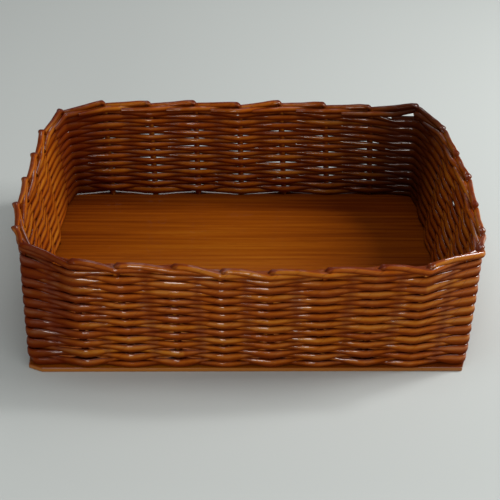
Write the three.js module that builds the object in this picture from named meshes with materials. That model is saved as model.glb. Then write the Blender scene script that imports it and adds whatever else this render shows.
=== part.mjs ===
// A shallow tray basket woven from rolled paper tubes on a wooden base board.
// Upright stakes stand in holes along the board's edge, one at each corner and the others evenly
// between. One long strand of paper tube is woven round them, in front of one stake and behind
// the next, and it climbs in a spiral. Above the weave each stake folds over, passes outside the
// next stake and ends inside the one after it, so the stakes' own free ends make the border.
// Millimetres, +Z up, origin at the middle of the board's underside, front towards -Y.
import * as THREE from "three";

// Base board
const BOARD_LENGTH = 380;
const BOARD_WIDTH = 300;
const BOARD_THICKNESS = 4;
const BOARD_CORNER_CLIP = 12;

// Stakes between two corners. With the four corners their number is odd, so that one strand
// changes sides at every stake from each round to the next.
const FRONT_STAKES = 8;
const BACK_STAKES = 7;
const END_STAKES = 5;
const STAKE_DIAMETER = 5;
const STAKE_TO_EDGE = 7.5; // from a stake's axis to the edge of the board
const STAKE_FOOT_RISE = 0.4; // from the board's underside to the cut end of a stake

// Strand
const STRAND_DIAMETER = 3.8;
const ROUND_COUNT = 22;
const ROW_GAP = 0.4;
const SPLICE_GAP = 0.4; // between the end of one round and the start of the next

// Lean of the walls at the top of the weave, in the middle of each wall. The walls bow, so they
// lean less towards their ends, and the corners are drawn in from where straight walls would meet.
const END_WALL_LEAN = 20;
const END_WALL_BOW = 9;
const LONG_WALL_LEAN = 5;
const LONG_WALL_BOW = 9;
const FRONT_CORNER_DRAWN_BACK = 29;
const FRONT_CORNER_DRAWN_IN = 9;
const BACK_CORNER_DRAWN_BACK = 14;
const BACK_CORNER_DRAWN_IN = 24;

// Border
const FOLD_RADIUS = 4; // of a stake's centre line where it folds over
const FOLD_STEPS = 2;
const BORDER_FALL = 1.5; // from the fold down to the middle of the first span
const BORDER_PASS_RISE = 1.8; // how far above the weave a folded end passes the next stake
const BORDER_TAIL = 8; // how far a folded end runs past the last stake that it is tucked behind
const FIRST_FOLD_LIFT = 5; // the first fold is left loose, so the last ends can go under it

const CLEARANCE = 0.3; // between neighbouring pieces
const STAKE_SIDES = 8;
const STRAND_SIDES = 6;
const SHARP_TURN = Math.PI / 6; // a tube wraps a stake in two bends where it turns more than this

const PAPER_COLOUR = 0x8f4d17;
const BOARD_COLOUR = 0x7d4010;

// Sizes that follow from the driving ones
const stakeRadius = STAKE_DIAMETER / 2;
const strandRadius = STRAND_DIAMETER / 2;
const rowPitch = STRAND_DIAMETER + ROW_GAP;
const firstRow = BOARD_THICKNESS + CLEARANCE + strandRadius;
const weaveTop = firstRow + rowPitch * (ROUND_COUNT - 1) + strandRadius;
const halfLength = BOARD_LENGTH / 2 - STAKE_TO_EDGE;
const halfWidth = BOARD_WIDTH / 2 - STAKE_TO_EDGE;
const cornerInset = BOARD_CORNER_CLIP / 2 + STAKE_TO_EDGE / Math.SQRT2;
const cornerX = BOARD_LENGTH / 2 - cornerInset;
const cornerY = BOARD_WIDTH / 2 - cornerInset;
const stakeCount = FRONT_STAKES + BACK_STAKES + 2 * END_STAKES + 4;
const firstFolded = FRONT_STAKES + 2 * END_STAKES + 3; // the back right corner
const climbSpans = BACK_STAKES + 1; // each round climbs one row along the back wall

const paper = new THREE.MeshStandardMaterial({ color: PAPER_COLOUR, roughness: 0.35, metalness: 0 });
const wood = new THREE.MeshStandardMaterial({ color: BOARD_COLOUR, roughness: 0.4, metalness: 0 });

// A stake has its foot in the board and its head at the top of the weave. Sides are 1 or -1.
function cornerStake(sideX, sideY) {
  const drawnIn = sideY < 0 ? FRONT_CORNER_DRAWN_IN : BACK_CORNER_DRAWN_IN;
  const drawnBack = sideY < 0 ? FRONT_CORNER_DRAWN_BACK : BACK_CORNER_DRAWN_BACK;
  const head = new THREE.Vector2(
    sideX * (halfLength + END_WALL_LEAN - drawnIn),
    sideY * (halfWidth + LONG_WALL_LEAN - drawnBack),
  );
  return { foot: new THREE.Vector2(sideX * cornerX, sideY * cornerY), head };
}

function endStake(sideX, y) {
  const lean = END_WALL_LEAN - END_WALL_BOW * (y / cornerY) ** 2;
  const head = new THREE.Vector2(sideX * (halfLength + lean), y);
  return { foot: new THREE.Vector2(sideX * halfLength, y), head };
}

// The heads of a long wall's stakes are spread evenly between the heads of its corners.
function longWallStake(x, sideY) {
  const lean = LONG_WALL_LEAN - LONG_WALL_BOW * (x / cornerX) ** 2;
  const spread = cornerStake(1, sideY).head.x / cornerX;
  const head = new THREE.Vector2(x * spread, sideY * (halfWidth + lean));
  return { foot: new THREE.Vector2(x, sideY * halfWidth), head };
}

function stakesBetween(from, to, count, place) {
  return Array.from({ length: count }, (_, i) => place(from + ((to - from) * (i + 1)) / (count + 1)));
}

// The stakes, anticlockwise from the back left corner, seen from above.
const stakes = [
  cornerStake(-1, 1),
  ...stakesBetween(cornerY, -cornerY, END_STAKES, (y) => endStake(-1, y)),
  cornerStake(-1, -1),
  ...stakesBetween(-cornerX, cornerX, FRONT_STAKES, (x) => longWallStake(x, -1)),
  cornerStake(1, -1),
  ...stakesBetween(-cornerY, cornerY, END_STAKES, (y) => endStake(1, y)),
  cornerStake(1, 1),
  ...stakesBetween(cornerX, -cornerX, BACK_STAKES, (x) => longWallStake(x, 1)),
];

function stakeCentre(index, height) {
  const { foot, head } = stakes[((index % stakeCount) + stakeCount) % stakeCount];
  const rise = Math.max(0, height - BOARD_THICKNESS) / (weaveTop - BOARD_THICKNESS);
  return foot.clone().lerp(head, rise);
}

// A stake's centre at a height, the directions along the wall and out of it there, half the
// angle that the wall turns by at the stake, and the length of the span after it.
function stakeAt(index, height) {
  const centre = stakeCentre(index, height);
  const arriving = centre.clone().sub(stakeCentre(index - 1, height)).normalize();
  const leaving = stakeCentre(index + 1, height).sub(centre);
  const span = leaving.length();
  leaving.normalize();
  const along = arriving.clone().add(leaving).normalize();
  const halfTurn = Math.acos(Math.min(1, along.dot(leaving)));
  return { centre, along, outward: new THREE.Vector2(along.y, -along.x), halfTurn, span };
}

// A point of the wall: spans counts stakes from the back left corner, and offset is how far the
// point lies outside the line of stakes.
function wallPoint(spans, offset, height) {
  const index = Math.floor(spans);
  const here = stakeAt(index, height);
  const next = stakeAt(index + 1, height);
  const plan = here.centre.lerp(next.centre, spans - index);
  plan.addScaledVector(here.outward.lerp(next.outward, spans - index).normalize(), offset);
  return new THREE.Vector3(plan.x, plan.y, height);
}

// The bends of a tube that passes a stake on one side (1 outside, -1 inside), placed so that its
// straight runs stay the tube's reach away from the stake's axis.
function passingBends(index, side, reach, height) {
  const { centre, along, outward, halfTurn, span } = stakeAt(index, height);
  const turn = Math.max(0, Math.atan((2 * reach) / span) + side * halfTurn);
  const bends = turn > SHARP_TURN ? 2 : 1;
  return Array.from({ length: bends }, (_, bend) => {
    const angle = turn * ((2 * bend + 1) / bends - 1);
    const distance = reach / Math.cos(turn / bends);
    const plan = centre.clone().addScaledVector(outward, side * distance * Math.cos(angle));
    plan.addScaledVector(along, distance * Math.sin(angle));
    return new THREE.Vector3(plan.x, plan.y, height);
  });
}

// A route with straight runs between its points, sampled at the points themselves.
class Route extends THREE.Curve {
  constructor(points) {
    super();
    this.points = points;
  }

  getPoint(t, target = new THREE.Vector3()) {
    const position = Math.min(Math.max(t, 0), 1) * (this.points.length - 1);
    const index = Math.min(Math.floor(position), this.points.length - 2);
    return target.lerpVectors(this.points[index], this.points[index + 1], position - index);
  }

  getUtoTmapping(u) {
    return u;
  }
}

function tube(name, points, radius, sides) {
  const section = new THREE.Shape().absarc(0, 0, radius, 0, 2 * Math.PI);
  const geometry = new THREE.ExtrudeGeometry(section, {
    curveSegments: sides / 2,
    steps: points.length - 1,
    extrudePath: new Route(points),
  });
  const mesh = new THREE.Mesh(geometry, paper);
  mesh.name = name;
  return mesh;
}

function numbered(name, index) {
  return `${name}_${String(index + 1).padStart(2, "0")}`;
}

// The board, a rectangle with clipped corners and a hole for each stake.
function baseBoard() {
  const x = BOARD_LENGTH / 2;
  const y = BOARD_WIDTH / 2;
  const clip = BOARD_CORNER_CLIP;
  const outline = new THREE.Shape();
  outline.moveTo(x, y - clip);
  outline.lineTo(x - clip, y);
  outline.lineTo(clip - x, y);
  outline.lineTo(-x, y - clip);
  outline.lineTo(-x, clip - y);
  outline.lineTo(clip - x, -y);
  outline.lineTo(x - clip, -y);
  outline.lineTo(x, clip - y);
  const holeRadius = (stakeRadius + CLEARANCE) / Math.cos(Math.PI / STAKE_SIDES);
  outline.holes = stakes.map(({ foot }) =>
    new THREE.Path().absarc(foot.x, foot.y, holeRadius, 0, 2 * Math.PI, true),
  );
  const mesh = new THREE.Mesh(
    new THREE.ExtrudeGeometry(outline, {
      depth: BOARD_THICKNESS,
      curveSegments: STAKE_SIDES / 2,
      bevelEnabled: false,
    }),
    wood,
  );
  mesh.name = "base_board";
  return mesh;
}

// A stake: up from its hole, through the weave, over the fold and along the border.
function stake(index) {
  const beside = STAKE_DIAMETER + CLEARANCE;
  const low = weaveTop + CLEARANCE + stakeRadius;
  const lift = index === firstFolded ? FIRST_FOLD_LIFT : 0;
  const crossing = low + beside + lift / 2;
  const fold = low + beside + BORDER_FALL + lift;
  const { foot } = stakes[index];
  const points = [
    new THREE.Vector3(foot.x, foot.y, STAKE_FOOT_RISE),
    new THREE.Vector3(foot.x, foot.y, BOARD_THICKNESS),
  ];
  const { span } = stakeAt(index, fold);
  const tail = BORDER_TAIL / stakeAt(index + 2, low).span;
  for (let step = 0; step <= FOLD_STEPS; step++) {
    const angle = ((Math.PI / 2) * step) / FOLD_STEPS;
    const along = (FOLD_RADIUS * (1 - Math.cos(angle))) / span;
    points.push(wallPoint(index + along, 0, fold - FOLD_RADIUS * (1 - Math.sin(angle))));
  }
  points.push(
    wallPoint(index + 0.5, beside / 2, crossing),
    ...passingBends(index + 1, 1, beside, low + BORDER_PASS_RISE),
    wallPoint(index + 1.5, 0, low),
    ...passingBends(index + 2, -1, beside, low),
    wallPoint(index + 2 + tail, -beside, low),
  );
  return tube(numbered("stake", index), points, stakeRadius, STAKE_SIDES);
}

// How high the strand runs, a number of spans after its start.
function strandHeight(spans) {
  const round = Math.floor(spans / stakeCount);
  const climbed = spans - round * stakeCount - (stakeCount - climbSpans);
  return firstRow + rowPitch * (round + Math.max(0, climbed) / climbSpans);
}

// One round of the strand. It starts in the middle of the span after the back left corner, and
// the last round ends where it would begin to climb.
function strandRound(round) {
  const reach = stakeRadius + strandRadius + CLEARANCE;
  const first = round * stakeCount;
  const length = round === ROUND_COUNT - 1 ? stakeCount - climbSpans : stakeCount;
  const start = 0.5;
  const trim = SPLICE_GAP / 2 / stakeAt(0, firstRow).span;
  const points = [wallPoint(start + trim, 0, strandHeight(first))];
  for (let passed = 1; passed <= length; passed++) {
    const side = (first + passed) % 2 === 0 ? 1 : -1;
    points.push(...passingBends(passed, side, reach, strandHeight(first + passed - start)));
  }
  points.push(wallPoint(start + length - trim, 0, strandHeight(first + length - trim)));
  return tube(numbered("strand_round", round), points, strandRadius, STRAND_SIDES);
}

const basket = new THREE.Group();
basket.name = "paper_basket";
basket.add(baseBoard());
for (let index = 0; index < stakeCount; index++) basket.add(stake(index));
for (let round = 0; round < ROUND_COUNT; round++) basket.add(strandRound(round));

export default basket;
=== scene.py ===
"""A shallow tray basket woven from rolled paper tubes round upright stakes on a thin wooden board.

The board, the stakes and every round of the strand are pieces of their own. All lengths are in
metres, with +Z up, the front towards -Y and the origin at the middle of the board's underside.
"""

import logging
import math
import random
from dataclasses import dataclass, field
from enum import Enum
from typing import Any

import bmesh
import bpy
from mathutils import Matrix, Vector


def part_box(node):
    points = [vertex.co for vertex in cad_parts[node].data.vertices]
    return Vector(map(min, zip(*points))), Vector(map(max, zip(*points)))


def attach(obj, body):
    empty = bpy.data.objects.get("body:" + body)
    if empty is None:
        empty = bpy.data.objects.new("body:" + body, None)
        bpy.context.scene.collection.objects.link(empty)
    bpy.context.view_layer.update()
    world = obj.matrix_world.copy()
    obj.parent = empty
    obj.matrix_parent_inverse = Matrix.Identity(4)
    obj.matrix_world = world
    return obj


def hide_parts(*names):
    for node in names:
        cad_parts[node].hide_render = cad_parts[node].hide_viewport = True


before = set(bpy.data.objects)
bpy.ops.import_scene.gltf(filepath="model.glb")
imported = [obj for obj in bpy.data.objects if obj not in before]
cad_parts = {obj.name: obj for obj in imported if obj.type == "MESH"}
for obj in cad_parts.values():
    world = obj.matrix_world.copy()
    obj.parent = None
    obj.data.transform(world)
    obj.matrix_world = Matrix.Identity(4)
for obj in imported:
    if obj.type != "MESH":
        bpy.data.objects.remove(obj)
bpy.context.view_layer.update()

Colour = tuple[float, float, float]
Range = tuple[float, float]
Spot = tuple[float, float]
Sockets = dict[str | int, Any]

BODY = "root"
SHADE_STOPS = (0.22, 0.5, 0.8)
RELIEF_DEPTH = 0.0004
VECTOR = "FLOAT_VECTOR"
log = logging.getLogger("basket")


class Passing(Enum):
    """The side on which a tube passes a stake."""

    OUTSIDE = 1
    INSIDE = -1


class Wire:
    """An output socket that takes part in arithmetic. Each operator adds a Math node."""

    def __init__(self, graph: "Graph", socket: bpy.types.NodeSocket) -> None:
        """Keeps the socket and the graph that it belongs to."""
        self.graph = graph
        self.socket = socket

    def out(self, key: str) -> "Wire":
        """Another output of the same node."""
        return Wire(self.graph, self.graph.socket(self.socket.node.outputs, key))

    def __add__(self, other: Any) -> "Wire":
        """This value plus another."""
        return self.graph.math("ADD", self, other)

    def __radd__(self, other: Any) -> "Wire":
        """A number plus this value."""
        return self.graph.math("ADD", other, self)

    def __sub__(self, other: Any) -> "Wire":
        """This value less another."""
        return self.graph.math("SUBTRACT", self, other)

    def __rsub__(self, other: Any) -> "Wire":
        """A number less this value."""
        return self.graph.math("SUBTRACT", other, self)

    def __mul__(self, other: Any) -> "Wire":
        """This value times another."""
        return self.graph.math("MULTIPLY", self, other)

    def __rmul__(self, other: Any) -> "Wire":
        """A number times this value."""
        return self.graph.math("MULTIPLY", other, self)

    def __truediv__(self, other: Any) -> "Wire":
        """This value divided by another."""
        return self.graph.math("DIVIDE", self, other)

    def __rtruediv__(self, other: Any) -> "Wire":
        """A number divided by this value."""
        return self.graph.math("DIVIDE", other, self)

    def __abs__(self) -> "Wire":
        """This value without its sign."""
        return self.graph.math("ABSOLUTE", self, 0.0)

    def ramp(self, start: float, end: float) -> "Wire":
        """A smooth step from 0 at start to 1 at end."""
        sockets = {"Value": self, "From Min": start, "From Max": end}
        return self.graph.node("ShaderNodeMapRange", sockets, interpolation_type="SMOOTHSTEP")

    def scaled(self, base: float, gain: float) -> "Wire":
        """A base plus this value times a gain."""
        return base + gain * self


class Graph:
    """Adds nodes to one node tree, of a material, of the world or of a modifier."""

    def __init__(self, tree: bpy.types.NodeTree) -> None:
        """Keeps the tree that the nodes go into."""
        self.tree = tree

    @staticmethod
    def socket(sockets: Any, key: str | int) -> bpy.types.NodeSocket:
        """Finds a socket by its place, its identifier or its name.

        Args:
            sockets: A node's inputs or outputs.
            key: The socket's index, identifier or name.

        Returns:
            The socket.
        """
        if isinstance(key, int):
            return sockets[key]
        return next((s for s in sockets if s.identifier == key), None) or sockets[key]

    def node(self, kind: str, sockets: Sockets | None = None, **settings: Any) -> Wire:
        """Adds a node, sets it and then fills its sockets.

        Args:
            kind: The node's type.
            sockets: A value or a wire for each input that isn't left at its default.
            **settings: The node's properties.

        Returns:
            The node's first output that is in use.
        """
        made = self.tree.nodes.new(kind)
        for name, value in settings.items():
            setattr(made, name, value)
        for key, value in (sockets or {}).items():
            target = self.socket(made.inputs, key)
            if isinstance(value, Wire):
                self.tree.links.new(value.socket, target)
            else:
                target.default_value = value
        outputs = [s for s in made.outputs if s.enabled] or [None]
        return Wire(self, outputs[0])

    def math(self, operation: str, first: Any, second: Any) -> Wire:
        """A Math node on two values."""
        return self.node("ShaderNodeMath", {0: first, 1: second}, operation=operation)

    def vector(self, operation: str, first: Any, second: Any) -> Wire:
        """A Vector Math node on two vectors."""
        return self.node("ShaderNodeVectorMath", {0: first, 1: second}, operation=operation)

    def stretched(self, vector: Wire, length: Wire) -> Wire:
        """A vector times a value."""
        return self.node("ShaderNodeVectorMath", {0: vector, "Scale": length}, operation="SCALE")

    def from_spot(self, place: Wire, spot: Spot) -> Wire:
        """How far a place lies from a spot, in plan."""
        return self.vector("DISTANCE", self.vector("MULTIPLY", place, (1.0, 1.0, 0.0)), (*spot, 0.0))

    def noise(self, vector: Wire, detail: float, roughness: float) -> Wire:
        """A noise texture on a vector that is scaled already."""
        sockets = {"Vector": vector, "Scale": 1.0, "Detail": detail, "Roughness": roughness}
        return self.node("ShaderNodeTexNoise", sockets)

    def attribute(self, name: str, output: str) -> Wire:
        """A mesh's attribute, for a material."""
        return self.node("ShaderNodeAttribute", attribute_name=name).out(output)

    def shaded(self, shade: Wire, colours: tuple[Colour, ...]) -> Wire:
        """Turns a shade into a colour.

        Args:
            shade: How light the place is, from 0 to 1.
            colours: The colours at the shades in SHADE_STOPS.

        Returns:
            The colour.
        """
        colour = self.node("ShaderNodeValToRGB", {"Fac": shade})
        ramp = colour.socket.node.color_ramp
        while len(ramp.elements) < len(colours):
            ramp.elements.new(1.0)
        for element, stop, tint in zip(ramp.elements, SHADE_STOPS, colours):
            element.position = stop
            element.color = (*tint, 1.0)
        return colour

    def stain_and_shade(self, colour: Wire, stain_and_shade_colour: Colour, share: Wire) -> Wire:
        """A colour with a share of another colour mixed in, which serves real stains and painted shade
        alike.
        """
        sockets = {"Factor_Float": share, "A_Color": colour, "B_Color": (*stain_and_shade_colour, 1.0)}
        return self.node("ShaderNodeMix", sockets, data_type="RGBA")

    def bump(self, relief: Wire, strength: float) -> Wire:
        """A normal that shows a fine relief."""
        sockets = {"Height": relief, "Strength": strength, "Distance": RELIEF_DEPTH}
        return self.node("ShaderNodeBump", sockets)

    def surface(self, sockets: Sockets) -> None:
        """Ends a material with a Principled shader."""
        shader = self.node("ShaderNodeBsdfPrincipled", sockets)
        self.node("ShaderNodeOutputMaterial", {"Surface": shader})

    def stored(self, geometry: Wire, name: str, value: Wire, kind: str = "FLOAT") -> Wire:
        """A geometry with a value stored at each of its points."""
        sockets = {"Geometry": geometry, "Name": name, "Value": value}
        return self.node("GeometryNodeStoreNamedAttribute", sockets, data_type=kind, domain="POINT")

    def read(self, name: str, kind: str = "FLOAT") -> Wire:
        """A stored value, for a modifier."""
        return self.node("GeometryNodeInputNamedAttribute", {"Name": name}, data_type=kind)

    def smooth(self, geometry: Wire, rounded: bool, chosen: Any = True) -> Wire:
        """A geometry whose chosen faces are shaded smooth, or else flat."""
        sockets = {"Geometry": geometry, "Selection": chosen, "Shade Smooth": rounded}
        return self.node("GeometryNodeSetShadeSmooth", sockets)

    def dressed(self, geometry: Wire, finish: Wire) -> Wire:
        """A geometry with a material on all its faces."""
        return self.node("GeometryNodeSetMaterial", {"Geometry": geometry, "Material": finish})

    def deliver(self, output: str, geometry: Wire, finish: Wire) -> None:
        """Ends a modifier's tree with real meshes in one material."""
        real = self.node("GeometryNodeRealizeInstances", {"Geometry": geometry})
        self.node("NodeGroupOutput", {output: self.dressed(real, finish)})


def surface_graph(name: str) -> tuple[bpy.types.Material, Graph]:
    """Makes an empty material.

    Args:
        name: The material's name.

    Returns:
        The material and the graph of its nodes.
    """
    material = bpy.data.materials.new(name)
    material.use_nodes = True
    material.node_tree.nodes.clear()
    return material, Graph(material.node_tree)


def modifier_tree(name: str, inputs: dict[str, str], output: str) -> bpy.types.NodeTree:
    """Makes an empty node tree for a modifier.

    Args:
        name: The tree's name.
        inputs: The kind of each named input.
        output: The name of the geometry that comes out.

    Returns:
        The tree.
    """
    tree = bpy.data.node_groups.new(name, "GeometryNodeTree")
    for key, kind in inputs.items():
        tree.interface.new_socket(key, in_out="INPUT", socket_type=f"NodeSocket{kind}")
    tree.interface.new_socket(output, in_out="OUTPUT", socket_type="NodeSocketGeometry")
    return tree


def in_scene(name: str, data: bpy.types.ID) -> bpy.types.Object:
    """Makes an object and links it to the scene.

    Args:
        name: The object's name.
        data: Its mesh, light or camera.

    Returns:
        The object.
    """
    made = bpy.data.objects.new(name, data)
    bpy.context.scene.collection.objects.link(made)
    return made


def node_made(
    name: str, mesh: bpy.types.Mesh, tree: bpy.types.NodeTree, inputs: dict[str, Any]
) -> bpy.types.Object:
    """Runs a node tree on a mesh and keeps the result as a plain mesh.

    Args:
        name: The object's name.
        mesh: The mesh that the tree starts from.
        tree: The node tree.
        inputs: A value for each of the tree's named inputs.

    Returns:
        The object, with no modifier left.
    """
    piece = in_scene(name, mesh)
    modifier = piece.modifiers.new("Nodes", "NODES")
    modifier.node_group = tree
    entries = [item for item in tree.interface.items_tree if item.in_out == "INPUT"]
    identifiers = {item.name: item.identifier for item in entries}
    for key, value in inputs.items():
        modifier[identifiers[key]] = value
    graph = bpy.context.evaluated_depsgraph_get()
    evaluated = piece.evaluated_get(graph)
    result = bpy.data.meshes.new_from_object(evaluated, preserve_all_data_layers=True, depsgraph=graph)
    piece.modifiers.remove(modifier)
    piece.data = result
    result.name = name
    bpy.data.meshes.remove(mesh)
    return piece


def hand_over(piece: bpy.types.Object, node: str) -> None:
    """Lets a piece ride on the basket in place of a solid.

    Args:
        piece: The finished piece.
        node: The solid that it stands for.
    """
    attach(piece, BODY)
    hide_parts(node)
    log.info("%s: %d faces", piece.name, len(piece.data.polygons))


@dataclass(frozen=True)
class PaperFinish:
    """Rolled newspaper under brown stain and glossy varnish.

    Places across and up a tube run from -1 to 1. Corners are places on the basket, in plan. Where a
    painted shade, the gloss or the roughness is a pair, it is an even share and what the mottle adds to it.
    """

    deep: Colour = (0.2, 0.032, 0.001)
    middle: Colour = (0.34, 0.074, 0.003)
    pale: Colour = (0.45, 0.145, 0.009)
    # The colour of the painted shade under, above and between the tubes and in the corners; the real seam
    # line of each sheet takes it too.
    seam_and_shade: Colour = (0.085, 0.008, 0.0002)
    # The colour of the painted shadow in the back right corner.
    shadow_colour: Colour = (0.022, 0.006, 0.0015)
    mottle_size: float = 0.014
    mottle_detail: float = 4.0
    mottle_roughness: float = 0.6
    fibre_length: float = 0.012
    fibres_across: float = 3.2
    fibre_detail: float = 5.0
    fibre_roughness: float = 0.65
    wrap_pitch: float = 0.021
    seam_between: Range = (0.955, 1.0)
    # Painted light: where and how strongly each tube is painted paler on its top, as if lit from above.
    lit_crown_between: Range = (-0.45, 0.45)
    lit_crown_fading: Range = (0.6, 1.0)
    tone_weight: float = 0.34
    mottle_weight: float = 0.45
    fibre_weight: float = 0.45
    lit_crown_weight: float = 0.3
    shade_drop: float = 0.3
    seam_stain: float = 0.45
    # Painted shade: the underside of each tube and its top edge, where the rows meet, are painted darker.
    below_between: Range = (-0.35, 0.6)
    below_shade: tuple[float, float] = (0.45, 0.35)
    above_between: Range = (0.72, 1.0)
    above_shade: tuple[float, float] = (0.4, 0.4)
    # Painted shade: a tube is painted darker where it is pressed thin at a crossing, between the stakes.
    pressed_between: Range = (0.0022, 0.0033)
    pressed_shade: float = 0.7
    # Painted shade: the paper is painted darker near three corners of the basket.
    shaded_corners: tuple[Spot, ...] = ((-0.180, 0.135), (0.180, 0.135), (-0.180, -0.135))
    corner_shade_between: Range = (0.015, 0.06)
    corner_shade: float = 0.8
    # Painted shadow: the paper is painted much darker towards the back right corner.
    shadowed_corners: tuple[Spot, ...] = ((0.185, 0.140),)
    shadow_between: Range = (0.0, 0.17)
    shadow_share: float = 0.68
    varnished_corners: tuple[Spot, ...] = ((0.192, -0.125),)
    varnish_between: Range = (0.025, 0.055)
    gloss_between: Range = (0.4, 0.62)
    gloss: tuple[float, float] = (0.06, 0.7)
    coat_between: Range = (-0.1, 0.6)
    coat_roughness: float = 0.08
    paper_gloss: float = 0.04
    roughness: tuple[float, float] = (0.42, 0.25)
    fibre_relief: float = 0.5
    mottle_relief: float = 0.35
    seam_relief: float = 0.8
    relief_strength: float = 0.35

    def material(self, name: str) -> bpy.types.Material:
        """Builds the finish as a material.

        Args:
            name: The material's name.

        Returns:
            The material, which reads the tubes' "wrap", "tone" and "half_height" attributes.
        """
        material, graph = surface_graph(name)
        place = graph.node("ShaderNodeTexCoord").out("Object")
        across = graph.node("ShaderNodeSeparateXYZ", {"Vector": graph.attribute("wrap", "Vector")})
        upward, along = across.out("Y"), across.out("Z")
        tone = graph.attribute("tone", "Fac")
        # Painted shade: 1 where a tube is pressed thin at a crossing, which is painted darker there.
        pressed = 1.0 - graph.attribute("half_height", "Fac").ramp(*self.pressed_between)

        spots = graph.vector("MULTIPLY", place, (1 / self.mottle_size,) * 3)
        mottle = graph.noise(spots, self.mottle_detail, self.mottle_roughness)
        fibre = self._fibre(graph, across, upward, along)
        seam = self._seam(graph, across, upward, along)
        # Painted light: a paler band along the top of each tube, as if lit from above.
        lit_crown = upward.ramp(*self.lit_crown_between) * (1.0 - upward.ramp(*self.lit_crown_fading))
        shade = self.tone_weight * tone + self.mottle_weight * mottle + self.fibre_weight * fibre
        shade = shade + self.lit_crown_weight * lit_crown - self.shade_drop
        colour = graph.shaded(shade, (self.deep, self.middle, self.pale))
        # Painted shade: darker under each tube and along its top edge, where the rows meet.
        below = (0.0 - upward).ramp(*self.below_between) * mottle.scaled(*self.below_shade)
        above = upward.ramp(*self.above_between) * mottle.scaled(*self.above_shade)
        # Painted shade near three corners, and painted shadow towards the back right corner.
        stain_and_shade = self._near(graph, place, self.shaded_corners, self.corner_shade_between)
        shadowed = self._near(graph, place, self.shadowed_corners, self.shadow_between)
        # Mixes in the real seam line, then painted shade under, above and between the tubes and in the
        # corners, then painted shadow.
        for stain_and_shade_colour, share in (
            (self.seam_and_shade, seam * self.seam_stain),
            (self.seam_and_shade, below),
            (self.seam_and_shade, above),
            (self.seam_and_shade, pressed * self.pressed_shade),
            (self.seam_and_shade, stain_and_shade * self.corner_shade),
            (self.shadow_colour, shadowed * self.shadow_share),
        ):
            colour = graph.stain_and_shade(colour, stain_and_shade_colour, share)

        gloss = mottle.ramp(*self.gloss_between).scaled(*self.gloss)
        pooled = self._near(graph, place, self.varnished_corners, self.varnish_between)
        relief = fibre * self.fibre_relief + mottle * self.mottle_relief - seam * self.seam_relief
        graph.surface(
            {
                "Base Color": colour,
                "Roughness": mottle.scaled(*self.roughness),
                "Specular IOR Level": self.paper_gloss,
                "Coat Weight": upward.ramp(*self.coat_between) * (gloss + pooled * (1.0 - gloss)),
                "Coat Roughness": self.coat_roughness,
                "Normal": graph.bump(relief, self.relief_strength),
            }
        )
        return material

    @staticmethod
    def _near(graph: Graph, place: Wire, corners: tuple[Spot, ...], between: Range) -> Wire:
        """Marks what lies near some corners of the basket.

        Args:
            graph: The material's graph.
            place: Object coordinates.
            corners: The corners, in plan.
            between: How far from a corner the mark begins to fade, and where it ends.

        Returns:
            1 at the corners and 0 away from them.
        """
        nearest, *others = (graph.from_spot(place, corner) for corner in corners)
        for other in others:
            nearest = graph.math("MINIMUM", nearest, other)
        return 1.0 - nearest.ramp(*between)

    def _fibre(self, graph: Graph, across: Wire, upward: Wire, along: Wire) -> Wire:
        """Fine creases and fibres that run along a tube.

        Args:
            graph: The material's graph.
            across: Where a point lies across the tube, from -1 to 1.
            upward: Where it lies upward on the tube, from -1 to 1.
            along: How far along the tube it lies.

        Returns:
            A value from 0 to 1.
        """
        sockets = {
            "X": along * (1 / self.fibre_length),
            "Y": across * self.fibres_across,
            "Z": upward * self.fibres_across,
        }
        drawn_out = graph.node("ShaderNodeCombineXYZ", sockets)
        return graph.noise(drawn_out, self.fibre_detail, self.fibre_roughness)

    def _seam(self, graph: Graph, across: Wire, upward: Wire, along: Wire) -> Wire:
        """The edge of the rolled sheet, a narrow line that winds round the tube.

        Args:
            graph: The material's graph.
            across: The cosine of the angle round the tube.
            upward: The sine of that angle.
            along: How far along the tube the point lies.

        Returns:
            1 on the line and 0 away from it.
        """
        turn = along * (2 * math.pi / self.wrap_pitch)
        cosine = graph.math("COSINE", turn, 0.0)
        sine = graph.math("SINE", turn, 0.0)
        return (across * cosine + upward * sine).ramp(*self.seam_between)


@dataclass(frozen=True)
class Grain:
    """A pattern's size along and across the grain of wood, and how many finer layers it has."""

    length: float
    width: float
    detail: float


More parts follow.
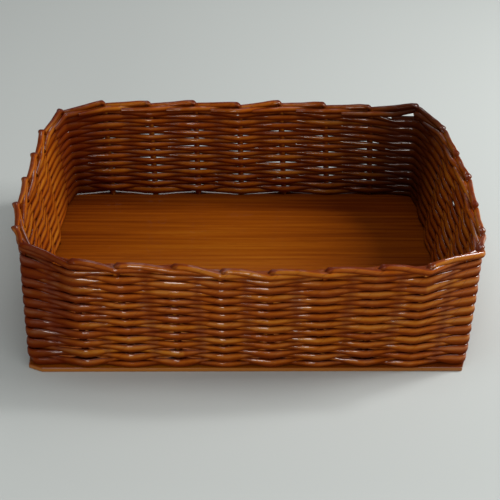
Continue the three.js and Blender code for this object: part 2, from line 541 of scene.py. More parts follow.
@dataclass(frozen=True)
class WoodFinish:
    """Thin board in woodstain with its grain along the basket, under satin varnish, with painted light:
    paler in its middle and front.

    The roughness, the coat and the edge's paleness are each an even share and what the grain adds.
    """

    dark: Colour = (0.10, 0.015, 0.0006)
    middle: Colour = (0.235, 0.052, 0.0016)
    pale: Colour = (0.37, 0.122, 0.006)
    streaks: Grain = Grain(0.16, 0.0034, 6.0)
    bands: Grain = Grain(0.55, 0.055, 2.0)
    pores: Grain = Grain(0.02, 0.0007, 2.0)
    grain_roughness: float = 0.55
    pore_between: Range = (0.58, 0.72)
    pore_stain: float = 0.45
    # Painted light: the board is painted paler round a spot in its middle and front, and so darker towards
    # the walls, where shade falls.
    lit_pool_centre: Spot = (-0.03, -0.08)
    lit_pool_between: Range = (0.08, 0.26)
    streak_weight: float = 0.62
    band_weight: float = 0.5
    lit_pool_weight: float = 0.3
    shade_drop: float = 0.27
    edge_between: Range = (0.0030, 0.0039)
    edge_paleness: tuple[float, float] = (0.5, 0.5)
    roughness: tuple[float, float] = (0.4, 0.2)
    wood_gloss: float = 0.04
    coat: tuple[float, float] = (0.02, 0.06)
    foot_between: Range = (0.137, 0.141)
    foot_coat: float = 0.9
    coat_roughness: float = 0.12
    pore_relief: float = 0.5
    relief_strength: float = 0.12

    def material(self, name: str) -> bpy.types.Material:
        """Builds the finish as a material.

        Args:
            name: The material's name.

        Returns:
            The material, which reads Object coordinates.
        """
        material, graph = surface_graph(name)
        place = graph.node("ShaderNodeTexCoord").out("Object")
        streak = self._pattern(graph, place, self.streaks)
        band = self._pattern(graph, place, self.bands)
        pore = self._pattern(graph, place, self.pores).ramp(*self.pore_between)
        # Painted light: paler round the middle and front of the board, darker towards the walls.
        lit_pool = 1.0 - graph.from_spot(place, self.lit_pool_centre).ramp(*self.lit_pool_between)
        shade = self.streak_weight * streak + self.band_weight * band + self.lit_pool_weight * lit_pool
        colour = graph.shaded(shade - self.shade_drop, (self.dark, self.middle, self.pale))
        axes = graph.node("ShaderNodeSeparateXYZ", {"Vector": place})
        edge = 1.0 - axes.out("Z").ramp(*self.edge_between)
        colour = graph.stain_and_shade(colour, self.dark, pore * self.pore_stain)
        colour = graph.stain_and_shade(colour, self.pale, edge * streak.scaled(*self.edge_paleness))
        pooled = abs(axes.out("Y")).ramp(*self.foot_between)
        graph.surface(
            {
                "Base Color": colour,
                "Roughness": streak.scaled(*self.roughness),
                "Specular IOR Level": self.wood_gloss,
                "Coat Weight": band.scaled(*self.coat) + self.foot_coat * pooled,
                "Coat Roughness": self.coat_roughness,
                "Normal": graph.bump(streak - pore * self.pore_relief, self.relief_strength),
            }
        )
        return material

    def _pattern(self, graph: Graph, place: Wire, grain: Grain) -> Wire:
        """Noise drawn out along the board, from 0 to 1."""
        scale = (1 / grain.length, 1 / grain.width, 1 / grain.width)
        return graph.noise(graph.vector("MULTIPLY", place, scale), grain.detail, self.grain_roughness)


@dataclass(frozen=True)
class FloorFinish:
    """Plain pale floor."""

    colour: Colour = (0.50, 0.525, 0.505)
    roughness: float = 0.75

    def material(self, name: str) -> bpy.types.Material:
        """Builds the finish as a material.

        Args:
            name: The material's name.

        Returns:
            The material.
        """
        material, graph = surface_graph(name)
        graph.surface({"Base Color": (*self.colour, 1.0), "Roughness": self.roughness})
        return material


@dataclass(frozen=True)
class Stake:
    """Where a stake stands in the board and where it leaves the weave, in plan.

    A bulge is how far it is bent aside in between.
    """

    foot: Vector
    head: Vector
    bulge: Vector = Vector((0.0, 0.0))


@dataclass(frozen=True)
class Corner:
    """How far a corner's stake is drawn in at its head, and how far it is bent out below that."""

    drawn_in: float
    drawn_back: float
    bent_out: Spot = (0.0, 0.0)


@dataclass(frozen=True)
class Crossing:
    """A stake at one height, and how the wall runs past it there, in plan."""

    centre: Vector
    along: Vector
    outward: Vector
    half_turn: float
    span: float


@dataclass
class Layout:
    """The plan that the board, the stakes and the strand share."""

    board_length: float
    board_width: float
    board_thickness: float
    round_count: int
    corner_clip: float = 0.012
    front_stakes: int = 8
    back_stakes: int = 7
    end_stakes: int = 5
    stake_diameter: float = 0.005
    stake_to_edge: float = 0.0075
    strand_diameter: float = 0.0038
    row_gap: float = 0.0005
    clearance: float = 0.0003
    end_wall_lean: float = 0.020
    end_wall_bow: float = 0.009
    long_wall_lean: float = 0.005
    long_wall_bow: float = 0.009
    front_corner: Corner = Corner(0.009, 0.029, (0.0055, 0.002))
    back_left_corner: Corner = Corner(0.024, 0.014, (-0.006, 0.003))
    back_right_corner: Corner = Corner(0.024, 0.014)
    bulge_rise: float = 0.05
    sharp_turn: float = math.pi / 6
    # A stake's number, and how far its head is moved along X and Y, one by one, for an uneven rim.
    hand_shifts: tuple[tuple[int, float, float], ...] = (
        (0, -0.001, -0.003),
        (1, 0.006, -0.004),
        (2, 0.007, -0.003),
        (3, 0.005, -0.002),
        (4, 0.001, 0.0),
        (5, 0.001, 0.008),
        (6, 0.0025, 0.007),
        (7, 0.001, 0.006),
        (8, -0.004, 0.003),
        (9, 0.0, 0.004),
        (10, -0.003, -0.002),
        (11, -0.006, -0.004),
        (12, -0.002, -0.002),
        (14, -0.003, -0.002),
        (15, 0.001, 0.0),
        (16, 0.001, 0.0),
        (17, -0.001, -0.003),
        (19, -0.003, -0.003),
        (20, -0.004, 0.002),
        (21, -0.003, 0.001),
        (22, -0.005, -0.002),
        (23, -0.006, -0.001),
        (24, -0.006, 0.001),
        (25, -0.003, -0.004),
        (26, -0.003, 0.001),
        (27, -0.004, 0.001),
        (28, -0.005, 0.004),
    )
    half_length: float = field(init=False)
    half_width: float = field(init=False)
    corner_x: float = field(init=False)
    corner_y: float = field(init=False)
    row_pitch: float = field(init=False)
    first_row: float = field(init=False)
    weave_top: float = field(init=False)
    climb_spans: int = field(init=False)
    stakes: list[Stake] = field(init=False)

    def __post_init__(self) -> None:
        """Works out the sizes that follow from the driving ones."""
        self.half_length = self.board_length / 2 - self.stake_to_edge
        self.half_width = self.board_width / 2 - self.stake_to_edge
        inset = self.corner_clip / 2 + self.stake_to_edge / math.sqrt(2)
        self.corner_x = self.board_length / 2 - inset
        self.corner_y = self.board_width / 2 - inset
        self.row_pitch = self.strand_diameter + self.row_gap
        self.first_row = self.board_thickness + self.clearance + self.strand_diameter / 2
        self.weave_top = self.first_row + self.row_pitch * (self.round_count - 1) + self.strand_diameter / 2
        self.climb_spans = self.back_stakes + 1
        self.stakes = self._place_stakes()
        for index, x, y in self.hand_shifts:
            stake = self.stakes[index]
            self.stakes[index] = Stake(stake.foot, stake.head + Vector((x, y)), stake.bulge)

    @classmethod
    def from_frame(cls) -> "Layout":
        """Takes the board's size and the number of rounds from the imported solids.

        Returns:
            The layout.
        """
        low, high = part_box("base_board")
        rounds = sum(name.startswith("strand_round_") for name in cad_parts)
        return cls(high.x - low.x, high.y - low.y, high.z - low.z, rounds)

    def _place_stakes(self) -> list[Stake]:
        """Places the stakes before any is moved by hand.

        Returns:
            The stakes, anticlockwise from the back left corner, seen from above.
        """
        to_front = self._between(self.corner_y, -self.corner_y, self.end_stakes)
        to_right = self._between(-self.corner_x, self.corner_x, self.front_stakes)
        to_left = self._between(self.corner_x, -self.corner_x, self.back_stakes)
        return [
            self._corner_stake(-1, 1),
            *(self._end_stake(-1, y) for y in to_front),
            self._corner_stake(-1, -1),
            *(self._long_wall_stake(x, -1) for x in to_right),
            self._corner_stake(1, -1),
            *(self._end_stake(1, -y) for y in to_front),
            self._corner_stake(1, 1),
            *(self._long_wall_stake(x, 1) for x in to_left),
        ]

    @staticmethod
    def _between(start: float, end: float, count: int) -> list[float]:
        """Even places between two corners."""
        return [start + (end - start) * (i + 1) / (count + 1) for i in range(count)]

    def _corner_stake(self, side_x: int, side_y: int) -> Stake:
        """A corner's stake, whose head is drawn in from where straight walls would meet.

        Args:
            side_x: 1 at the right end, -1 at the left.
            side_y: 1 at the back, -1 at the front.

        Returns:
            The stake.
        """
        corner = self.back_left_corner if side_x < 0 else self.back_right_corner
        if side_y < 0:
            corner = self.front_corner
        foot = Vector((side_x * self.corner_x, side_y * self.corner_y))
        head_x = side_x * (self.half_length + self.end_wall_lean - corner.drawn_in)
        head_y = side_y * (self.half_width + self.long_wall_lean - corner.drawn_back)
        bulge = Vector((side_x * corner.bent_out[0], side_y * corner.bent_out[1]))
        return Stake(foot, Vector((head_x, head_y)), bulge)

    def _end_stake(self, side_x: int, y: float) -> Stake:
        """A stake of an end wall, at a place along it."""
        lean = self.end_wall_lean - self.end_wall_bow * (y / self.corner_y) ** 2
        return Stake(Vector((side_x * self.half_length, y)), Vector((side_x * (self.half_length + lean), y)))

    def _long_wall_stake(self, x: float, side_y: int) -> Stake:
        """A stake of the front or back wall.

        Args:
            x: Where its foot stands along the wall.
            side_y: 1 at the back, -1 at the front.

        Returns:
            The stake.
        """
        lean = self.long_wall_lean - self.long_wall_bow * (x / self.corner_x) ** 2
        spread = self._corner_stake(1, side_y).head.x / self.corner_x
        head = Vector((x * spread, side_y * (self.half_width + lean)))
        return Stake(Vector((x, side_y * self.half_width)), head)

    def centre(self, index: int, height: float) -> Vector:
        """A stake's centre at a height.

        Args:
            index: The stake's number, counted on past the last one.
            height: The height above the underside of the board.

        Returns:
            The centre, in plan.
        """
        stake = self.stakes[index % len(self.stakes)]
        rise = max(0.0, height - self.board_thickness) / (self.weave_top - self.board_thickness)
        bulged = min(1.0, rise / self.bulge_rise) * max(0.0, 1.0 - rise * rise)
        return stake.foot.lerp(stake.head, rise) + stake.bulge * bulged

    def crossing(self, index: int, height: float) -> Crossing:
        """A stake at a height, with the directions along the wall and out of it.

        Args:
            index: The stake's number, counted on past the last one.
            height: The height above the underside of the board.

        Returns:
            The stake there.
        """
        centre = self.centre(index, height)
        arriving = (centre - self.centre(index - 1, height)).normalized()
        leaving = self.centre(index + 1, height) - centre
        along = (arriving + leaving.normalized()).normalized()
        half_turn = math.acos(min(1.0, along.dot(leaving.normalized())))
        return Crossing(centre, along, Vector((along.y, -along.x)), half_turn, leaving.length)

    def wall_point(self, spans: float, offset: float, height: float) -> Vector:
        """A point of the wall.

        Args:
            spans: How many spans past the back left corner it lies.
            offset: How far outside the line of stakes it lies.
            height: The height above the underside of the board.

        Returns:
            The point.
        """
        index = math.floor(spans)
        plan = self.centre(index, height).lerp(self.centre(index + 1, height), spans - index).to_3d()
        return plan + self.outward(spans, height) * offset + Vector((0.0, 0.0, height))

    def outward(self, spans: float, height: float) -> Vector:
        """The direction out of the wall.

        Args:
            spans: How many spans past the back left corner.
            height: The height above the underside of the board.

        Returns:
            The level direction, one long.
        """
        index = math.floor(spans)
        here, following = self.crossing(index, height), self.crossing(index + 1, height)
        return here.outward.lerp(following.outward, spans - index).normalized().to_3d()

    def passing_bends(self, index: int, side: Passing, reach: float, height: float) -> list[Vector]:
        """The bends of a tube that passes a stake.

        Args:
            index: The stake's number.
            side: The side on which the tube passes.
            reach: How far the tube's straight runs stay from the stake's axis.
            height: The height above the underside of the board.

        Returns:
            One point, or two where the tube turns sharply.
        """
        at = self.crossing(index, height)
        turn = max(0.0, math.atan(2 * reach / at.span) + side.value * at.half_turn)
        bends = 2 if turn > self.sharp_turn else 1
        distance = reach / math.cos(turn / bends)
        points = []
        for bend in range(bends):
            angle = turn * ((2 * bend + 1) / bends - 1)
            plan = at.centre + at.outward * (side.value * distance * math.cos(angle))
            plan += at.along * (distance * math.sin(angle))
            points.append(Vector((plan.x, plan.y, height)))
        return points


@dataclass(frozen=True)
class Section:
    """The depth and the height of a tube that is pressed flat."""

    depth: float
    height: float

    def times(self, factor: float) -> "Section":
        """The section made larger or smaller."""
        return Section(self.depth * factor, self.height * factor)


@dataclass
class TubePath:
    """Points along the middle of a tube, with its section at each.

    A section's depth lies along its side vector, and its height at right angles to that.
    """

    points: list[Vector] = field(default_factory=list)
    sides: list[Vector] = field(default_factory=list)
    half_depths: list[float] = field(default_factory=list)
    half_heights: list[float] = field(default_factory=list)

    def add(self, point: Vector, side: Vector, section: Section) -> None:
        """Adds a point with the tube's section there.

        Args:
            point: The point.
            side: Which way the depth is measured.
            section: The tube's depth and height.
        """
        self.points.append(point)
        self.sides.append(side)
        self.half_depths.append(section.depth / 2)
        self.half_heights.append(section.height / 2)

    def mesh(self, name: str) -> bpy.types.Mesh:
        """Makes the path a chain of edges.

        Args:
            name: The mesh's name.

        Returns:
            The mesh, which carries the sections as attributes of its points.
        """
        mesh = bpy.data.meshes.new(name)
        mesh.from_pydata(self.points, [(i, i + 1) for i in range(len(self.points) - 1)], [])
        for attribute, values in (("half_depth", self.half_depths), ("half_height", self.half_heights)):
            mesh.attributes.new(attribute, "FLOAT", "POINT").data.foreach_set("value", values)
        directions = mesh.attributes.new("path_side", VECTOR, "POINT").data
        directions.foreach_set("vector", [part for side in self.sides for part in side])
        return mesh


@dataclass
class RolledTube:
    """A node tree that rolls a tube of paper along a path and leaves its cut ends open."""

    name: str
    paper: bpy.types.Material
    sides: int
    step: float
    rounding: int
    sheet_length: float
    sheet_shift: float = 0.37
    sleeve_length: float = 0.009
    sleeve_swell: float = 0.07
    bore_share: float = 0.42
    bore_depth: float = 0.004
    most_wall_corners: float = 4.5
    tree: bpy.types.NodeTree = field(init=False)

    def __post_init__(self) -> None:
        """Builds the tree."""
        inputs = {
            "Path": "Geometry",
            "Step": "Float",
            "Rounding": "Int",
            "Sides": "Int",
            "Sheet Length": "Float",
            "Sheet Shift": "Float",
            "Sleeve Length": "Float",
            "Sleeve Swell": "Float",
            "Bore Share": "Float",
            "Bore Depth": "Float",
            "Seed": "Int",
            "Paper": "Material",
        }
        self.tree = modifier_tree(self.name, inputs, "Tube")
        graph = Graph(self.tree)
        given = graph.node("NodeGroupInput")
        tube = self._tube(graph, given, self._path(graph, given))
        graph.deliver("Tube", self._cut_ends(graph, given, tube), given.out("Paper"))

    @staticmethod
    def _blurred(graph: Graph, given: Wire, value: Wire, kind: str = "FLOAT") -> Wire:
        """A value evened out along the path."""
        sockets = {"Value": value, "Iterations": given.out("Rounding")}
        return graph.node("GeometryNodeBlurAttribute", sockets, data_type=kind)

    def _path(self, graph: Graph, given: Wire) -> Wire:
        """Turns the path into an even curve with rounded bends, which carries what the tube needs.

        Args:
            graph: The tree's graph.
            given: The tree's inputs.

        Returns:
            The curve.
        """
        curve = graph.node("GeometryNodeMeshToCurve", {"Mesh": given.out("Path")})
        sockets = {"Curve": curve, "Length": given.out("Step")}
        curve = graph.node("GeometryNodeResampleCurve", sockets, mode="LENGTH")
        position = graph.node("GeometryNodeInputPosition")
        for name in ("half_depth", "half_height"):
            curve = graph.stored(curve, name, self._blurred(graph, given, graph.read(name)))
        rounded = self._blurred(graph, given, position, VECTOR)
        curve = graph.node("GeometryNodeSetPosition", {"Geometry": curve, "Position": rounded})
        side = self._blurred(graph, given, graph.read("path_side", VECTOR), VECTOR)
        tangent = graph.node("GeometryNodeInputTangent")
        sockets = {0: graph.vector("CROSS_PRODUCT", tangent, side)}
        upward = graph.node("ShaderNodeVectorMath", sockets, operation="NORMALIZE")
        curve = graph.stored(curve, "path_upward", upward, VECTOR)
        square = graph.vector("CROSS_PRODUCT", graph.read("path_upward", VECTOR), tangent)
        for name, value in (("path_centre", position), ("path_side", square)):
            curve = graph.stored(curve, name, value, VECTOR)
        length = graph.node("GeometryNodeSplineParameter").out("Length")
        return graph.stored(curve, "path_length", length)

    @staticmethod
    def _tube(graph: Graph, given: Wire, curve: Wire) -> Wire:
        """Lays the tube round the curve.

        Args:
            graph: The tree's graph.
            given: The tree's inputs.
            curve: The curve that carries the tube's sizes.

        Returns:
            The closed tube, with its "wrap", "tone" and "half_height" attributes.
        """
        sockets = {"Resolution": given.out("Sides"), "Radius": 1.0}
        ring = graph.node("GeometryNodeCurvePrimitiveCircle", sockets)
        ring = graph.stored(ring, "path_ring", graph.node("GeometryNodeInputPosition"), VECTOR)
        sockets = {"Curve": curve, "Profile Curve": ring, "Fill Caps": True}
        tube = graph.node("GeometryNodeCurveToMesh", sockets)

        length = graph.read("path_length")
        sheets = length / given.out("Sheet Length") + given.out("Sheet Shift") * given.out("Seed")
        sheet = graph.math("FLOOR", sheets, 0.0)
        into_sheet = (sheets - sheet) * given.out("Sheet Length")
        on_sleeve = graph.math("LESS_THAN", into_sheet, given.out("Sleeve Length"))
        swell = 1.0 + on_sleeve * given.out("Sleeve Swell")
        on_ring = graph.node("ShaderNodeSeparateXYZ", {"Vector": graph.read("path_ring", VECTOR)})
        place = graph.read("path_centre", VECTOR)
        for axis, size, facing in (("X", "half_depth", "path_side"), ("Y", "half_height", "path_upward")):
            reach = on_ring.out(axis) * graph.read(size) * swell
            place = graph.vector("ADD", place, graph.stretched(graph.read(facing, VECTOR), reach))
        tube = graph.node("GeometryNodeSetPosition", {"Geometry": tube, "Position": place})

        sockets = {"X": on_ring.out("X"), "Y": 0.0 - on_ring.out("Y"), "Z": length}
        tube = graph.stored(tube, "wrap", graph.node("ShaderNodeCombineXYZ", sockets), VECTOR)
        sockets = {"ID": sheet, "Seed": given.out("Seed")}
        tone = graph.node("FunctionNodeRandomValue", sockets, data_type="FLOAT")
        tube = graph.stored(tube, "tone", tone.out("Value_001"))
        for pattern in ("path_*", "half_depth"):
            sockets = {"Geometry": tube, "Name": pattern}
            tube = graph.node("GeometryNodeRemoveAttribute", sockets, pattern_mode="WILDCARD")
        return tube

    def _cut_ends(self, graph: Graph, given: Wire, tube: Wire) -> Wire:
        """Opens the bore in the tube's two ends.

        Args:
            graph: The tree's graph.
            given: The tree's inputs.
            tube: The tube with flat ends.

        Returns:
            The tube with a bore sunk into each end, smooth except on the cut.
        """
        corners = graph.node("GeometryNodeInputMeshFaceNeighbors").out("Vertex Count")
        end = graph.math("GREATER_THAN", corners, self.most_wall_corners)
        sockets = {"Mesh": graph.smooth(tube, True), "Selection": end, "Offset Scale": 0.0}
        cut = graph.node("GeometryNodeExtrudeMesh", sockets)
        inner = cut.out("Top")
        sockets = {"Geometry": cut, "Selection": inner, "Scale": given.out("Bore Share")}
        bore = graph.node("GeometryNodeScaleElements", sockets)
        sockets = {"Mesh": bore, "Selection": inner, "Offset Scale": 0.0 - given.out("Bore Depth")}
        sunk = graph.node("GeometryNodeExtrudeMesh", sockets)
        tube = graph.smooth(sunk, False, cut.out("Side"))
        return graph.smooth(tube, False, sunk.out("Top"))

    def make(self, name: str, path: TubePath, seed: int) -> bpy.types.Object:
        """Makes one tube.

        Args:
            name: The piece's name.
            path: The path that the tube follows.
            seed: A number that sets the tones of its sheets apart from other tubes'.

        Returns:
            The tube as a plain mesh object.
        """
        inputs = {
            "Step": self.step,
            "Rounding": self.rounding,
            "Sides": self.sides,
            "Sheet Length": self.sheet_length,
            "Sheet Shift": self.sheet_shift,
            "Sleeve Length": self.sleeve_length,
            "Sleeve Swell": self.sleeve_swell,
            "Bore Share": self.bore_share,
            "Bore Depth": self.bore_depth,
            "Seed": seed,
            "Paper": self.paper,
        }
        return node_made(name, path.mesh(name), self.tree, inputs)


@dataclass
class BaseBoard:
    """The board, with eased edges, cut corners and a hole for each stake.

    The front clips are what is cut off the left and the right corner, along the front and the end.
    """

    layout: Layout
    finish: WoodFinish
    front_clips: tuple[Spot, Spot] = ((0.012, 0.006), (0.004, 0.013))
    edge_radius: float = 0.0007
    edge_segments: int = 2
    edge_profile: float = 0.5
    hole_sides: int = 24
    drill_thicknesses: float = 4.0

    def build(self) -> None:
        """Makes the board and hands it over."""
        inputs = {
            "Hole Diameter": self.layout.stake_diameter + 2 * self.layout.clearance,
            "Drill Length": self.drill_thicknesses * self.layout.board_thickness,
            "Hole Sides": self.hole_sides,
            "Wood": self.finish.material("stained board"),
        }
        hand_over(node_made("board", self._plate(), self._drilling(), inputs), "base_board")

    def _plate(self) -> bpy.types.Mesh:
        """The board before it is drilled, with loose points that mark the holes.

        Returns:
            The mesh, whose "drill" attribute is 1 at the loose points.
        """
        plan = self.layout
        x, y, clip = plan.board_length / 2, plan.board_width / 2, plan.corner_clip
        left, right = self.front_clips
        outline = [(x, y - clip), (x - clip, y), (clip - x, y), (-x, y - clip)]
        outline += [(-x, left[1] - y), (left[0] - x, -y), (x - right[0], -y), (x, right[1] - y)]
        plate = bmesh.new()
        under = plate.faces.new([plate.verts.new((a, b, 0.0)) for a, b in outline])
        raised = bmesh.ops.extrude_face_region(plate, geom=[under])["geom"]
        corners = [part for part in raised if isinstance(part, bmesh.types.BMVert)]
        bmesh.ops.translate(plate, verts=corners, vec=(0.0, 0.0, plan.board_thickness))
        bmesh.ops.recalc_face_normals(plate, faces=plate.faces)
        bmesh.ops.bevel(
            plate,
            geom=list(plate.edges),
            offset=self.edge_radius,
            segments=self.edge_segments,
            profile=self.edge_profile,
            affect="EDGES",
        )
        drill = plate.verts.layers.float.new("drill")
        for stake in plan.stakes:
            mark = plate.verts.new((stake.foot.x, stake.foot.y, plan.board_thickness / 2))
            mark[drill] = 1.0
        mesh = bpy.data.meshes.new("plate")
        plate.to_mesh(mesh)
        plate.free()
        return mesh

    @staticmethod
    def _drilling() -> bpy.types.NodeTree:
        """A node tree that drills a hole at each marked point of a plate.

        Returns:
            The tree.
        """
        inputs = {
            "Plate": "Geometry",
            "Hole Diameter": "Float",
            "Drill Length": "Float",
            "Hole Sides": "Int",
            "Wood": "Material",
        }
        tree = modifier_tree("Drilled board", inputs, "Board")
        graph = Graph(tree)
        given = graph.node("NodeGroupInput")
        wood = given.out("Wood")
        sockets = {"Geometry": given.out("Plate"), "Selection": graph.read("drill")}
        marks = graph.node("GeometryNodeSeparateGeometry", sockets)
        sockets = {
            "Vertices": given.out("Hole Sides"),
            "Radius": given.out("Hole Diameter") / 2,
            "Depth": given.out("Drill Length"),
        }
        bit = graph.node("GeometryNodeMeshCylinder", sockets)
        bits = graph.node("GeometryNodeInstanceOnPoints", {"Points": marks, "Instance": bit})
        bits = graph.node("GeometryNodeRealizeInstances", {"Geometry": bits})
        sockets = {
            "Mesh 1": graph.dressed(marks.out("Inverted"), wood),
            "Mesh 2": graph.dressed(bits, wood),
        }
        board = graph.node("GeometryNodeMeshBoolean", sockets, operation="DIFFERENCE", solver="EXACT")
        graph.deliver("Board", graph.smooth(board, False), wood)
        return tree


@dataclass
class Stakes:
    """The upright tubes, whose tops fold over and make the border."""

    layout: Layout
    paper: bpy.types.Material
    upright: Section = Section(0.0028, 0.0060)
    crease: Section = Section(0.0088, 0.0030)
    border: Section = Section(0.0054, 0.0063)
    tail_end: Section = Section(0.0048, 0.0046)
    border_reach: float = 0.0029
    slope_reach: float = 0.5
    foot_rise: float = 0.0004
    bulge_shares: tuple[float, ...] = (0.05, 0.12, 0.3, 0.5, 0.7, 0.85)
    crease_run: float = 0.0014
    crease_fall: float = 0.0042
    past_crease_runs: float = 4.0
    past_crease_fall: float = 0.25
    left_crease_reach: float = 0.0020
    fold_height: float = 0.1080
    front_fold_drop: float = 0.0018
    slope_height: float = 0.1050
    outside_height: float = 0.1022
    inside_height: float = 0.1016
    tail_fall: float = 0.0010
    border_tail: float = 0.030
    short_tail: float = 0.003
    first_fold_lift: float = 0.0045
    sides: int = 16
    step: float = 0.0011
    rounding: int = 2
    sheet_length: float = 0.4
    unevenness: float = 0.05
    wander: float = 0.0004
    seed: int = 5

    def build(self) -> None:
        """Makes every stake and hands it over."""
        tube = RolledTube(
            "Rolled stake", self.paper, self.sides, self.step, self.rounding, self.sheet_length
        )
        draw = random.Random(self.seed)
        for index in range(len(self.layout.stakes)):
            name = f"stake_{index + 1:02d}"
            piece = tube.make(f"folded_{name}", self._path(index, draw), index)
            hand_over(piece, name)

    def _path(self, index: int, draw: random.Random) -> TubePath:
        """The way of one stake: up from its hole, over the fold and along the border.

        Args:
            index: The stake's number.
            draw: Where the unevenness comes from.

        Returns:
            The path.
        """
        plan = self.layout
        path = TubePath()
        beside = self.border_reach
        first_folded = len(plan.stakes) - plan.climb_spans
        lift = self.first_fold_lift if index == first_folded else 0.0
        lift += draw.uniform(-self.wander, self.wander)
        raised = self.first_fold_lift if index + 1 == first_folded else 0.0
        under_first = index + 2 == first_folded
        facing = plan.outward(index, self.fold_height)
        fold = self.fold_height + lift - self.front_fold_drop * max(0.0, -facing.y)
        crease_out = self.left_crease_reach * max(0.0, -facing.x)
        slope = self.slope_height + (lift + raised) / 2
        low = self.inside_height
        if under_first:
            low += self.first_fold_lift / 2
        elif raised:
            low -= self.tail_fall

        def add(spans: float, point: Vector, section: Section) -> None:
            """Adds a point with an uneven section."""
            swell = 1 + draw.uniform(-self.unevenness, self.unevenness)
            path.add(point, plan.outward(spans, point.z), section.times(swell))

        def add_at(spans: float, offset: float, height: float, section: Section) -> None:
            """Adds a point of the wall."""
            add(spans, plan.wall_point(spans, offset, height), section)

        foot = plan.stakes[index].foot
        for z in (self.foot_rise, plan.board_thickness):
            add(index, Vector((foot.x, foot.y, z)), self.upright)
        for share in self.bulge_shares:
            height = plan.board_thickness + share * (plan.weave_top - plan.board_thickness)
            add_at(index, 0.0, height, self.upright)
        add_at(index, 0.0, fold - self.crease_fall, self.upright)

        run = self.crease_run / plan.crossing(index, fold).span
        add_at(index + run, crease_out, fold, self.crease)
        past_crease = fold - self.crease_fall * self.past_crease_fall
        add_at(index + self.past_crease_runs * run, crease_out, past_crease, self.border)
        quarter, half = 0.25, 0.5
        drift = beside * self.slope_reach
        add_at(index + quarter, drift * quarter + crease_out / 2, (fold + slope) / 2, self.border)
        add_at(index + half, drift * half, slope, self.border)

        flattened = Section(self.border.depth - crease_out, self.border.height)
        reach = beside - crease_out / 2
        for bend in plan.passing_bends(index + 1, Passing.OUTSIDE, reach, self.outside_height + raised):
            add(index + 1, bend, flattened)
        add_at(index + 1 + half, 0.0, low, self.border)
        for bend in plan.passing_bends(index + 2, Passing.INSIDE, beside, low):
            add(index + 2, bend, self.border)
        length = self.short_tail if under_first else self.border_tail
        tail = index + 2 + length / plan.crossing(index + 2, low).span
        add_at(tail, -beside, low - self.tail_fall, self.tail_end)
        return path


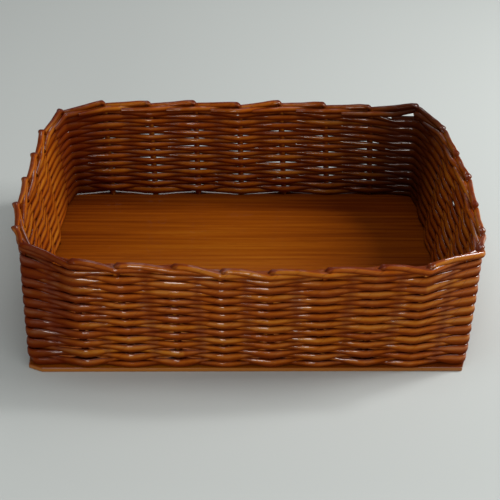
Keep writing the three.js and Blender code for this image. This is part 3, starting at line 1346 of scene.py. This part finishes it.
@dataclass
class Weave:
    """The strand that is woven round the stakes, one round above another."""

    layout: Layout
    paper: bpy.types.Material
    tube_depth: float = 0.0032
    pressed_height: float = 0.0071
    tight_height: float = 0.0080
    tight_rounds: int = 5
    end_wall_swell: float = 0.42
    back_wall_thinning: float = 0.13
    foot_swell: float = 0.15
    foot_clearance: float = 0.0001
    shoulder_share: float = 0.95
    crossing_height: float = 0.0045
    crossing_share: float = 0.5
    first_round_gap: float = 0.0007
    settling: tuple[float, float] = (0.0009, 0.0026)
    settling_decay: float = 0.85
    settled_share: float = 0.5
    spread_share: float = 0.75
    foot_spread: float = 0.0038
    least_spread: float = 0.3
    top_rise_spans: float = 0.3
    outside_reach: float = 0.0026
    inside_reach: float = 0.0024
    inside_corner_reach: float = 0.0012
    overlap: float = 0.004
    unevenness: float = 0.09
    wander: float = 0.00025
    tilt: float = 0.12
    sides: int = 14
    step: float = 0.002
    rounding: int = 3
    sheet_length: float = 0.43
    seed: int = 11
    first_tone_seed: int = 100

    def build(self) -> None:
        """Makes every round and hands it over."""
        tube = RolledTube(
            "Rolled strand", self.paper, self.sides, self.step, self.rounding, self.sheet_length
        )
        draw = random.Random(self.seed)
        for round_index in range(self.layout.round_count):
            name = f"strand_round_{round_index + 1:02d}"
            path = self._path(round_index, draw)
            piece = tube.make(f"woven_{name}", path, self.first_tone_seed + round_index)
            hand_over(piece, name)

    def _row_height(self, spans: float) -> float:
        """How high the strand runs.

        It climbs along the back wall, where one round fewer is spread over the same height.

        Args:
            spans: How many spans after the strand's start.

        Returns:
            The height above the underside of the board.
        """
        plan = self.layout
        count = len(plan.stakes)
        done = math.floor(spans / count)
        along_back = max(0.0, spans - done * count - (count - plan.climb_spans))
        climbed = along_back / plan.climb_spans
        topmost = plan.round_count - 1
        spread = topmost / (topmost - 1 + climbed) - 1
        rise = 1 + spread * min(1.0, along_back / self.top_rise_spans)
        return plan.first_row + plan.row_pitch * (done + climbed) * rise

    def _path(self, round_index: int, draw: random.Random) -> TubePath:
        """The way of one round, in front of one stake and behind the next.

        Args:
            round_index: The round's number, from the board up.
            draw: Where the unevenness comes from.

        Returns:
            The path.
        """
        plan = self.layout
        path = TubePath()
        count = len(plan.stakes)
        first = round_index * count
        last = round_index == plan.round_count - 1
        spans = count - plan.climb_spans if last else count
        tight = round_index >= plan.round_count - self.tight_rounds
        pressed = self.tight_height if tight else self.pressed_height
        near_foot = self.settling_decay**round_index
        start = self.crossing_share
        slip = self.overlap / plan.crossing(0, plan.first_row).span

        def add(along: float, point: Vector, height: float) -> None:
            """Adds a point with its section held between the board and the top of the weave.

            Args:
                along: How many spans past the back left corner the point lies.
                point: The middle of the tube where nothing holds it.
                height: The tube's height where nothing holds it.
            """
            low = max(point.z - height / 2, plan.board_thickness + self.foot_clearance)
            if round_index == 0:
                low = min(low, plan.board_thickness + self.first_round_gap)
            high = min(point.z + height / 2, plan.weave_top + plan.clearance)
            side = plan.outward(along, point.z) + Vector((0.0, 0.0, draw.uniform(-self.tilt, self.tilt)))
            held = Vector((point.x, point.y, (low + high) / 2))
            path.add(held, side, Section(self.tube_depth, high - low))

        def crossed(along: float, row: float) -> Vector:
            """Where the strand crosses the line of stakes between two of them."""
            height = self._row_height(row) - self._settled(along, round_index) * self.settled_share
            return plan.wall_point(along, self._spread(along, near_foot) * self.spread_share, height)

        before = crossed(start, first)
        add(start, before, self.crossing_height)
        for passed in range(1, spans + 1):
            side = Passing.OUTSIDE if (first + passed) % 2 == 0 else Passing.INSIDE
            height = self._row_height(first + passed - start) - self._settled(passed, round_index)
            height += draw.uniform(-self.wander, self.wander)
            outward = plan.crossing(passed, height).outward
            swell = self.foot_swell * near_foot + self.end_wall_swell * abs(outward.x)
            swell -= self.back_wall_thinning * max(0.0, outward.y)
            tall = pressed * (1 + swell + draw.uniform(-self.unevenness, self.unevenness))
            reach = self._reach(passed, side, self._spread(passed, near_foot))
            bends = plan.passing_bends(passed, side, reach, height)
            end = slip if passed == spans else 0.0
            after = crossed(passed + start + end, first + passed)
            add(passed - start / 2, before.lerp(bends[0], 0.5), tall * self.shoulder_share)
            for bend in bends:
                add(passed, bend, tall)
            add(passed + start / 2, bends[-1].lerp(after, 0.5), tall * self.shoulder_share)
            add(passed + start, after, self.crossing_height)
            before = after
        return path

    def _settled(self, spans: float, round_index: int) -> float:
        """How far a round has settled, which on the front wall differs from one round to the next.

        Args:
            spans: How many spans past the back left corner.
            round_index: The round's number, from the board up.

        Returns:
            The distance.
        """
        if round_index == 0:
            return 0.0
        facing = max(0.0, -self.layout.outward(spans, self.layout.first_row).y)
        even = sum(self.settling) / len(self.settling)
        own = even + (self.settling[round_index % len(self.settling)] - even) * facing
        return own * self.settling_decay ** (round_index - 1)

    def _spread(self, spans: float, near_foot: float) -> float:
        """How much further out the strand lies near the board, most of all on the front wall."""
        facing = -self.layout.outward(spans, self.layout.first_row).y
        return self.foot_spread * near_foot * max(self.least_spread, facing)

    def _reach(self, index: int, side: Passing, spread: float) -> float:
        """How far from a stake's axis the strand passes it.

        Args:
            index: The stake's number.
            side: The side on which the strand passes.
            spread: How much further out it passes near the board.

        Returns:
            The distance.
        """
        if side is Passing.OUTSIDE:
            return self.outside_reach + spread
        turn = 2 * self.layout.crossing(index, self.layout.weave_top).half_turn
        return self.inside_corner_reach if turn > self.layout.sharp_turn else self.inside_reach


@dataclass(frozen=True)
class Lamp:
    """A square soft lamp that faces the basket. Its power is in watts."""

    name: str
    place: tuple[float, float, float]
    size: float
    power: float

    def hang(self) -> None:
        """Adds the lamp to the scene."""
        data = bpy.data.lights.new(self.name, "AREA")
        data.size = self.size
        data.energy = self.power
        lamp = in_scene(self.name, data)
        lamp.location = self.place
        lamp.rotation_euler = (-Vector(self.place)).to_track_quat("-Z", "Y").to_euler()


@dataclass
class Studio:
    """The floor, the lights and the camera. The sensor's width is in millimetres."""

    floor_finish: FloorFinish
    floor_size: float = 8.0
    world_colour: Colour = (0.95, 0.98, 1.0)
    world_strength: float = 0.18
    lamps: tuple[Lamp, ...] = (
        Lamp("key", (1.2, 0.2, 0.95), 0.6, 15.5),
        Lamp("sparkle", (0.85, 0.38, 1.1), 0.16, 4.5),
        Lamp("ceiling", (0.0, -0.1, 1.6), 1.0, 7.2),
        Lamp("back", (-0.1, 1.5, 1.1), 0.5, 2.5),
        Lamp("front", (-0.2, -1.25, 0.36), 0.3, 4.8),
    )
    sensor_width: float = 36.0
    focal_pixels: float = 1338.0
    image_pixels: float = 500.0
    camera_place: tuple[float, float, float] = (-0.0366, -1.0587, 0.7277)
    camera_pitch: float = math.radians(33.47)
    camera_yaw: float = math.radians(2.24)
    camera_roll: float = math.radians(1.29)

    def build(self) -> None:
        """Sets up the floor, the lights and the camera."""
        self._floor()
        self._world()
        for lamp in self.lamps:
            lamp.hang()
        self._camera()

    def _floor(self) -> None:
        """Lays the floor that the basket stands on."""
        half = self.floor_size / 2
        corners = [(-half, -half, 0), (half, -half, 0), (half, half, 0), (-half, half, 0)]
        mesh = bpy.data.meshes.new("floor")
        mesh.from_pydata(corners, [], [(0, 1, 2, 3)])
        mesh.materials.append(self.floor_finish.material("pale floor"))
        floor = in_scene("floor", mesh)

    def _world(self) -> None:
        """Lights the scene evenly from all round."""
        world = bpy.data.worlds.new("studio")
        world.use_nodes = True
        world.node_tree.nodes.clear()
        graph = Graph(world.node_tree)
        sockets = {"Color": (*self.world_colour, 1.0), "Strength": self.world_strength}
        light = graph.node("ShaderNodeBackground", sockets)
        graph.node("ShaderNodeOutputWorld", {"Surface": light})
        bpy.context.scene.world = world

    def _camera(self) -> None:
        """Sets the camera where the photograph was taken from."""
        data = bpy.data.cameras.new("camera")
        data.sensor_width = self.sensor_width
        data.lens = self.focal_pixels / self.image_pixels * self.sensor_width
        forward = Vector(
            (
                math.sin(self.camera_yaw) * math.cos(self.camera_pitch),
                math.cos(self.camera_yaw) * math.cos(self.camera_pitch),
                -math.sin(self.camera_pitch),
            )
        )
        level = Vector((math.cos(self.camera_yaw), -math.sin(self.camera_yaw), 0.0))
        right = Matrix.Rotation(-self.camera_roll, 3, forward) @ level
        turn = Matrix((right, right.cross(forward), -forward)).transposed()
        camera = in_scene("camera", data)
        camera.location = self.camera_place
        camera.rotation_euler = turn.to_euler()
        bpy.context.scene.camera = camera


def main() -> None:
    """Builds the basket and the studio."""
    logging.basicConfig(level=logging.INFO, format="%(name)s: %(message)s")
    bpy.context.scene.view_settings.view_transform = "Standard"
    layout = Layout.from_frame()
    paper = PaperFinish().material("stained paper")
    Studio(FloorFinish()).build()
    BaseBoard(layout, WoodFinish()).build()
    Stakes(layout, paper).build()
    Weave(layout, paper).build()


if __name__ == "__main__":
    main()
